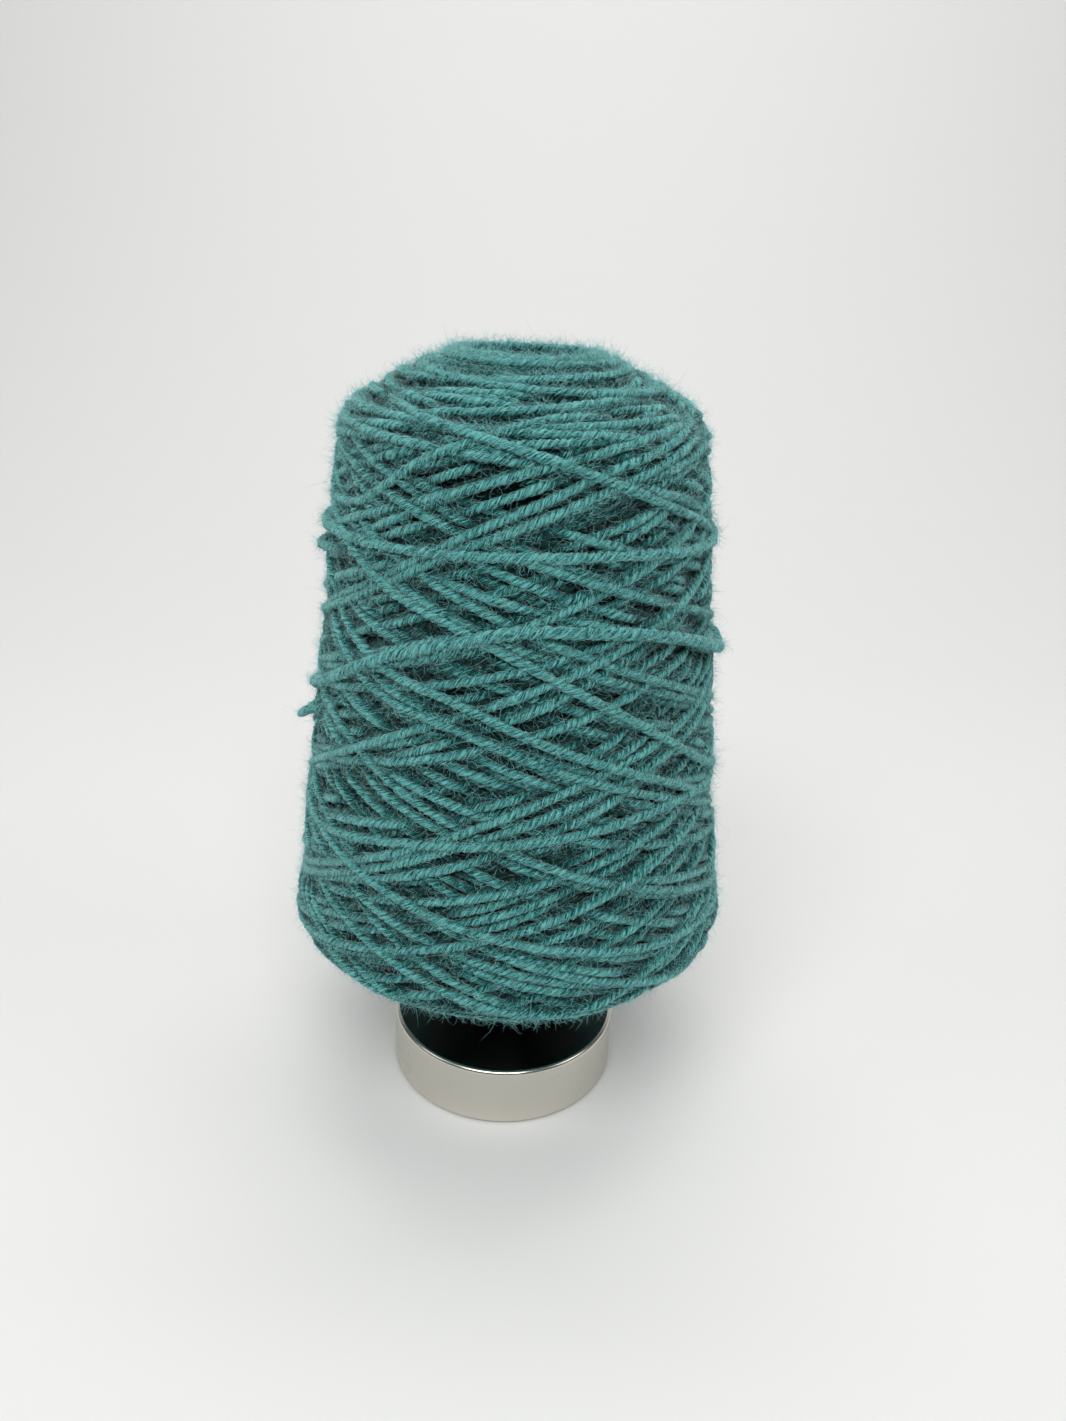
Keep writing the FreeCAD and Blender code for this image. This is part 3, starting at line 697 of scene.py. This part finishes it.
def maths(tree, operation, first, second):
    """One sum of two values, each a number or another node's output."""
    made = node(tree, "ShaderNodeMath", operation=operation)
    for socket, value in zip(made.inputs, (first, second)):
        if isinstance(value, (int, float)):
            socket.default_value = value
        else:
            tree.links.new(value, socket)
    return made.outputs[0]


def bump(tree, shader, height, strength, distance):
    """Fine relief on a shader's surface, its height given in metres."""
    made = node(tree, "ShaderNodeBump")
    made.inputs["Strength"].default_value = strength
    made.inputs["Distance"].default_value = distance
    tree.links.new(height, made.inputs["Height"])
    tree.links.new(made.outputs["Normal"], shader.inputs["Normal"])


def attribute(tree, name):
    """A value stored on the mesh's vertices."""
    return node(tree, "ShaderNodeAttribute", attribute_name=name).outputs["Fac"]


def object_coordinates(tree):
    return node(tree, "ShaderNodeTexCoord").outputs["Object"]


BLACK = (0.0, 0.0, 0.0)
WHITE = (1.0, 1.0, 1.0)
PLY_CREASE_SHADE = 0.14           # painted shade: a ply's edges and the creases between plies are darker than its crown by this much of the ramp
STREAK_TINT = 3.2           # fibre streaks
PATCH_TINT = 0.25           # larger patches of lighter and darker wool
SUNK_STRAND_SHADE = 0.36           # painted shade: darkening for each mm under the package's surface
LEVEL_SHIFT = 1.02          # brings the sum of these back onto the ramp
# painted shade: the ramp's deepest colour is the shade of sunk strands and creases, and also the
# darkest fibre streaks
WOOL_DARKEST_AND_SHADE = (0.001, 0.014, 0.014)
WOOL_MID = (0.008, 0.118, 0.116)
WOOL_LIGHT = (0.165, 0.510, 0.495)
FIBRE_DARK = (0.13, 0.46, 0.45)
FIBRE_LIGHT = (0.36, 0.78, 0.76)
# painted shade: the older yarn under the visible turns is coloured dark, as if in the shade of the
# turns over it
UNDER_SHADE_DARK = (0.004, 0.030, 0.030)
UNDER_SHADE_LIGHT = (0.014, 0.075, 0.072)
STEEL = (0.66, 0.635, 0.57)
STEEL_PIT = (0.10, 0.10, 0.09)
# painted shade: the flat top's steel colour is darkened so that its reflection of the yarn's underside
# reads near black
MIRROR_SHADE_STEEL = (0.06, 0.070, 0.068)
CARD_DARK = (0.27, 0.17, 0.09)
CARD_LIGHT = (0.50, 0.36, 0.21)


def wool_material():
    """Dyed wool with fine fibre streaks, and painted shade between the plies and deep in the package.
    """
    material, tree, shader = new_material("teal_wool_strand")
    place = node(tree, "ShaderNodeCombineXYZ")
    tree.links.new(maths(tree, "MULTIPLY", attribute(tree, "along"), 0.36), place.inputs["X"])
    tree.links.new(maths(tree, "MULTIPLY", attribute(tree, "around"), 9.0), place.inputs["Y"])
    streaks = noise(tree, place.outputs["Vector"], 1.5, 4.0, 0.75)
    patches = noise(tree, object_coordinates(tree), 90.0, 2.0)
    # painted shade in the creases between plies
    level = maths(tree, "MULTIPLY", attribute(tree, "ply_shading"), PLY_CREASE_SHADE)
    level = maths(tree, "ADD", level, maths(tree, "MULTIPLY", streaks, STREAK_TINT))
    level = maths(tree, "ADD", level, maths(tree, "MULTIPLY", patches, PATCH_TINT))
    # painted shade: strands that lie under the package's surface are darkened by how deep they lie
    sunk = maths(tree, "MINIMUM", attribute(tree, "depth"), 0.0)
    level = maths(tree, "ADD", level, maths(tree, "MULTIPLY", sunk, SUNK_STRAND_SHADE))
    level = maths(tree, "SUBTRACT", level, LEVEL_SHIFT)
    colour = ramp(tree, level, [(0.30, WOOL_DARKEST_AND_SHADE), (0.62, WOOL_MID), (1.0, WOOL_LIGHT)])
    tree.links.new(colour, shader.inputs["Base Color"])
    shader.inputs["Roughness"].default_value = 0.92
    shader.inputs["Specular IOR Level"].default_value = 0.12
    shader.inputs["Sheen Weight"].default_value = 0.6
    shader.inputs["Sheen Roughness"].default_value = 0.45
    shader.inputs["Sheen Tint"].default_value = (0.60, 0.88, 0.86, 1.0)
    fuzz = noise(tree, object_coordinates(tree), 4200.0, 3.0, 0.7)
    relief = maths(tree, "ADD", maths(tree, "MULTIPLY", streaks, 0.8), fuzz)
    bump(tree, shader, relief, 0.55, 0.00022)
    return material


def fibre_material():
    """The loose hairs, paler than the strands because light gets through them."""
    material, tree, shader = new_material("teal_wool_fibre")
    patches = noise(tree, object_coordinates(tree), 500.0, 2.0)
    colour = ramp(tree, patches, [(0.3, FIBRE_DARK), (0.7, FIBRE_LIGHT)])
    tree.links.new(colour, shader.inputs["Base Color"])
    shader.inputs["Roughness"].default_value = 0.8
    shader.inputs["Specular IOR Level"].default_value = 0.2
    shader.inputs["Sheen Weight"].default_value = 0.3
    return material


def under_layer_material():
    """The older yarn that shows through the gaps, coloured with painted shade."""
    material, tree, shader = new_material("teal_wool_under_layer")
    patches = noise(tree, object_coordinates(tree), 700.0, 4.0, 0.6)
    colour = ramp(tree, patches, [(0.3, UNDER_SHADE_DARK), (0.7, UNDER_SHADE_LIGHT)])
    tree.links.new(colour, shader.inputs["Base Color"])
    shader.inputs["Roughness"].default_value = 1.0
    shader.inputs["Specular IOR Level"].default_value = 0.0
    bump(tree, shader, patches, 1.0, 0.0006)
    return material


def grey(level):
    """A colour that a ramp gives where it stands for a plain number."""
    return (level, level, level)


def metal_material(name, colour, roughness, grain_scale, grain_bump):
    """Plain steel or brass with a faint uneven finish."""
    material, tree, shader = new_material(name)
    shader.inputs["Base Color"].default_value = (*colour, 1.0)
    shader.inputs["Metallic"].default_value = 1.0
    marks = noise(tree, object_coordinates(tree), grain_scale, 4.0, 0.6)
    smooth = grey(max(0.02, roughness * 0.75))
    rough = grey(min(1.0, roughness * 1.3))
    tree.links.new(ramp(tree, marks, [(0.3, smooth), (0.7, rough)]), shader.inputs["Roughness"])
    if grain_bump:
        bump(tree, shader, marks, 0.2, grain_bump)
    return material


def base_material():
    """The base's steel: satin round the side, and a turned mirror on its flat top whose colour is
    darkened to paint the shade it reflects.
    """
    material, tree, shader = new_material("polished_steel_base")
    coordinates = node(tree, "ShaderNodeTexCoord")
    place = coordinates.outputs["Object"]
    split = node(tree, "ShaderNodeSeparateXYZ")
    tree.links.new(coordinates.outputs["Normal"], split.inputs["Vector"])
    upward = ramp(tree, split.outputs["Z"], [(0.05, BLACK), (0.35, WHITE)])
    flat = ramp(tree, split.outputs["Z"], [(0.985, BLACK), (0.998, WHITE)])
    cloud = noise(tree, place, 110.0, 2.0)
    satin = ramp(tree, cloud, [(0.3, grey(0.27)), (0.7, grey(0.31))])
    mirror = ramp(tree, cloud, [(0.3, grey(0.20)), (0.7, grey(0.23))])
    tree.links.new(mixed(tree, upward, satin, mirror), shader.inputs["Roughness"])
    pits = node(tree, "ShaderNodeTexVoronoi")
    pits.inputs["Scale"].default_value = 120.0
    tree.links.new(place, pits.inputs["Vector"])
    pitted = ramp(tree, pits.outputs["Distance"], [(0.035, STEEL_PIT), (0.06, STEEL)])
    # painted shade in the flat top's reflection, through its darkened steel colour
    mirror_shade = node(tree, "ShaderNodeRGB").outputs[0]
    mirror_shade.default_value = (*MIRROR_SHADE_STEEL, 1.0)
    tree.links.new(mixed(tree, flat, pitted, mirror_shade), shader.inputs["Base Color"])
    shader.inputs["Metallic"].default_value = 1.0
    tree.links.new(flat, shader.inputs["Anisotropic"])
    shader.inputs["Anisotropic Rotation"].default_value = 0.25
    turned = node(tree, "ShaderNodeTangent", direction_type="RADIAL", axis="Z")
    tree.links.new(turned.outputs["Tangent"], shader.inputs["Tangent"])
    return material


def plastic_material(name, colour, roughness):
    """Plastic or rubber with a fine grain."""
    material, tree, shader = new_material(name)
    grain = noise(tree, object_coordinates(tree), 2500.0, 2.0)
    darker = tuple(channel * 0.8 for channel in colour)
    lighter = tuple(min(1.0, channel * 1.2) for channel in colour)
    tree.links.new(ramp(tree, grain, [(0.3, darker), (0.7, lighter)]), shader.inputs["Base Color"])
    shader.inputs["Roughness"].default_value = roughness
    bump(tree, shader, grain, 0.25, 0.00005)
    return material


def card_material():
    """Brown card with the slanting seams of a wound paper cone."""
    material, tree, shader = new_material("wound_card")
    place = object_coordinates(tree)
    fibres = noise(tree, place, 1500.0, 5.0, 0.7)
    seams = node(tree, "ShaderNodeTexWave", wave_type="BANDS", bands_direction="Z")
    seams.inputs["Scale"].default_value = 24.0
    seams.inputs["Distortion"].default_value = 0.6
    tree.links.new(place, seams.inputs["Vector"])
    level = maths(tree, "ADD", maths(tree, "MULTIPLY", fibres, 0.7),
                  maths(tree, "MULTIPLY", seams.outputs["Fac"], 0.3))
    colour = ramp(tree, level, [(0.25, CARD_DARK), (0.8, CARD_LIGHT)])
    tree.links.new(colour, shader.inputs["Base Color"])
    shader.inputs["Roughness"].default_value = 0.85
    bump(tree, shader, level, 0.3, 0.0001)
    return material


def paint_cad_nodes():
    """Give every carried-over CAD piece its finished material."""
    steel = metal_material("ground_steel", (0.56, 0.56, 0.55), 0.22, 900.0, 0.00001)
    zinc = metal_material("zinc_plate", (0.50, 0.50, 0.50), 0.38, 1500.0, 0.00003)
    bearing = metal_material("bearing_steel", (0.62, 0.62, 0.63), 0.12, 600.0, 0)
    iron = metal_material("turned_iron", (0.16, 0.16, 0.17), 0.5, 1200.0, 0.00005)
    brass = metal_material("turned_brass", (0.72, 0.52, 0.22), 0.25, 900.0, 0.00001)
    black = plastic_material("black_acetal", (0.005, 0.0055, 0.006), 0.50)
    nylon = plastic_material("natural_nylon", (0.66, 0.60, 0.46), 0.5)
    rubber = plastic_material("black_rubber", (0.018, 0.018, 0.018), 0.8)
    finishes = {
        "base_shell": base_material(),
        "ballast_disc": iron,
        "bottom_plate": steel,
        "foot_pad": rubber,
        "plate_screws": zinc,
        "spindle": steel,
        "spindle_washer": zinc,
        "spindle_nut": zinc,
        "bearing_inner_race": bearing,
        "bearing_outer_race": bearing,
        "bearing_balls": bearing,
        "bearing_cage": nylon,
        "bearing_lower_shield": bearing,
        "bearing_upper_shield": bearing,
        "bearing_clip": zinc,
        "cone_seat": black,
        "cone_core": card_material(),
        "nose_guide": black,
        "guide_bush": brass,
    }
    for name, material in finishes.items():
        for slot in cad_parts[name].material_slots:
            slot.material = material


# ---------------------------------------------------------------- the yarn package
UNDER_LAYER_DEPTH = 3.4     # its surface below the package's
UNDER_LAYER_SIDES = 180
UNDER_LAYER_ROWS = 4        # cells of the outline from one of its rings to the next
CORE_NOSE_RADIUS = 8.8      # paper cone's outside at its nose
CORE_GAP = 0.1              # older yarn off the paper cone


def under_layer():
    """The closed body of older yarn that fills the package under the turns in sight."""
    sides = UNDER_LAYER_SIDES
    rows = np.arange(0, ROWS, UNDER_LAYER_ROWS)
    core_low, core_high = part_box("cone_core")
    core_base = core_high.x / MM
    taper = (core_base - CORE_NOSE_RADIUS) / ((core_high.z - core_low.z) / MM)
    angles = np.arange(sides) * TURN / sides
    rings = [surface_point(angles, np.full(sides, float(row)), -UNDER_LAYER_DEPTH) for row in rows]

    def beside_core(height):
        radius = core_base - (height - core_low.z / MM) * taper + CORE_GAP
        return np.stack([radius * np.sin(angles), -radius * np.cos(angles),
                         np.full(sides, height)], axis=-1)

    inner_low = rings[0][0, 2]
    inner_high = rings[-1][0, 2]
    rings = [beside_core(inner_low)] + rings + [beside_core(inner_high)]
    points = np.concatenate(rings)
    count = len(rings)
    faces = []
    for ring in range(count):
        following = (ring + 1) % count
        for side in range(sides):
            beside = (side + 1) % sides
            faces.append((ring * sides + side, ring * sides + beside,
                          following * sides + beside, following * sides + side))
    mesh = bpy.data.meshes.new("yarn_under_layer")
    mesh.from_pydata((points * MM).tolist(), [], faces)
    mesh.polygons.foreach_set("use_smooth", np.ones(len(faces), bool))
    mesh.materials.append(under_layer_material())
    piece = bpy.data.objects.new("yarn_under_layer", mesh)
    bpy.context.scene.collection.objects.link(piece)
    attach(piece, "cone")
    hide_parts("yarn_package")


def make_yarn():
    """Lay the yarn from the outside in, then build its strands, its inside in painted shade, and its
    hairs.
    """
    cover = Cover()
    stretches = []
    for thickness, waypoints in LOOSE_TURNS:
        angle, row, rise = loose_turn(waypoints)
        stretches.extend(visible_stretches(angle, row, *cover.tuck(angle, row, rise), thickness))
    angle, row = wound_yarn()
    stretches.extend(visible_stretches(angle, row, *cover.tuck(angle, row)))
    wool = wool_material()
    build_pieces("yarn_winding", stretches,
                 lambda buffer, stretch: strand_mesh(buffer, *stretch), wool)
    under_layer()
    fibre = fibre_material()
    batches = []
    for count, shortest, longest, rise, curl, rings in FIBRE_KINDS:
        roots, directions, normals = fibre_roots(stretches, count)
        length = rng.uniform(shortest, longest, size=count)
        paths = curly_paths(roots, directions, normals, length, rise, curl, rings)
        batches.extend(np.array_split(paths, max(1, count // FIBRES_PER_BATCH)))
    build_pieces("yarn_fibres", batches, fibre_mesh, fibre)


# ---------------------------------------------------------------- stage, light and camera
CAMERA_PLACE = (0.0, -0.2296, 0.1975)
CAMERA_YAW = math.radians(1.08)
CAMERA_PITCH = math.radians(23.3)
CAMERA_ROLL = math.radians(2.5)
CAMERA_LENS = 27.08
CAMERA_SENSOR = 36.0


def make_camera():
    """The photograph's camera, from its fit to the base's rim and the package's outline."""
    data = bpy.data.cameras.new("camera")
    data.lens = CAMERA_LENS
    data.sensor_width = CAMERA_SENSOR
    data.clip_start = 0.005
    data.clip_end = 20.0
    camera = bpy.data.objects.new("camera", data)
    bpy.context.scene.collection.objects.link(camera)
    forward = Vector((math.sin(CAMERA_YAW) * math.cos(CAMERA_PITCH),
                      math.cos(CAMERA_YAW) * math.cos(CAMERA_PITCH),
                      -math.sin(CAMERA_PITCH)))
    level = Vector((math.cos(CAMERA_YAW), -math.sin(CAMERA_YAW), 0.0))
    upward = level.cross(forward)
    right = level * math.cos(CAMERA_ROLL) + upward * math.sin(CAMERA_ROLL)
    upward = right.cross(forward)
    turn = Matrix((right, upward, -forward)).transposed().to_4x4()
    camera.matrix_world = Matrix.Translation(Vector(CAMERA_PLACE)) @ turn
    bpy.context.scene.camera = camera


FLOOR_WIDTH = 3.6
FLOOR_FRONT = -1.6
SWEEP_START = 0.30          # where the floor starts to bend up
SWEEP_RADIUS = 0.75
SWEEP_STEPS = 12
BACKDROP_TOP = 1.9
FLOOR_COLOUR = (0.80, 0.80, 0.79)


def make_stage():
    """A pale floor that sweeps up into a backdrop far behind the object."""
    outline = [(FLOOR_FRONT, 0.0), (SWEEP_START, 0.0)]
    for index in range(1, SWEEP_STEPS + 1):
        angle = math.pi / 2 * index / SWEEP_STEPS
        outline.append((SWEEP_START + SWEEP_RADIUS * math.sin(angle),
                        SWEEP_RADIUS * (1 - math.cos(angle))))
    outline.append((SWEEP_START + SWEEP_RADIUS, BACKDROP_TOP))
    points, faces = [], []
    for y, z in outline:
        points += [(-FLOOR_WIDTH / 2, y, z), (FLOOR_WIDTH / 2, y, z)]
    for index in range(len(outline) - 1):
        low = 2 * index
        faces.append((low, low + 1, low + 3, low + 2))
    mesh = bpy.data.meshes.new("floor")
    mesh.from_pydata(points, [], faces)
    mesh.polygons.foreach_set("use_smooth", np.ones(len(faces), bool))
    material, _, shader = new_material("pale_floor")
    shader.inputs["Base Color"].default_value = (*FLOOR_COLOUR, 1.0)
    shader.inputs["Roughness"].default_value = 0.6
    mesh.materials.append(material)
    floor = bpy.data.objects.new("floor", mesh)
    bpy.context.scene.collection.objects.link(floor)


MIDDLE = (0.0, 0.0, 0.08)   # what the lights are aimed at
BACKDROP = (0.15, 1.05, 0.35)
DAYLIGHT = (0.97, 0.975, 0.97)
WORLD_STRENGTH = 0.11
WARM = (1.0, 0.99, 0.97)
# Name, place, target, width, height, watts and colour of each light, in metres.
LIGHTS = [
    ("front_box", (-0.12, -0.84, 1.12), MIDDLE, 1.1, 0.5, 12.9, WHITE),
    ("left_box", (-1.1, -0.3, 0.9), MIDDLE, 0.6, 0.7, 1.5, WHITE),
    ("right_box", (1.1, -0.3, 0.9), MIDDLE, 0.6, 0.7, 2.1, WHITE),
    ("top_box", (0.0, 0.05, 1.25), MIDDLE, 0.8, 0.8, 3.4, WARM),
    ("back_box", (0.1, 0.35, 1.3), BACKDROP, 1.2, 0.3, 4.6, WHITE),
]


def area_light(name, place, target, width, height, power, colour):
    """A soft box at a place, turned towards its target."""
    data = bpy.data.lights.new(name, "AREA")
    data.shape = "RECTANGLE"
    data.size, data.size_y = width, height
    data.energy = power
    data.color = colour
    light = bpy.data.objects.new(name, data)
    bpy.context.scene.collection.objects.link(light)
    light.location = place
    aim = Vector(target) - Vector(place)
    light.rotation_euler = aim.to_track_quat("-Z", "Y").to_euler()


def make_lights():
    """Soft boxes round the object, and a dim even daylight."""
    world = bpy.data.worlds.new("studio")
    world.use_nodes = True
    background = world.node_tree.nodes["Background"]
    background.inputs["Color"].default_value = (*DAYLIGHT, 1.0)
    background.inputs["Strength"].default_value = WORLD_STRENGTH
    bpy.context.scene.world = world
    bpy.context.scene.view_settings.view_transform = "Standard"
    for light in LIGHTS:
        area_light(*light)


make_camera()
make_stage()
make_lights()
paint_cad_nodes()
make_yarn()
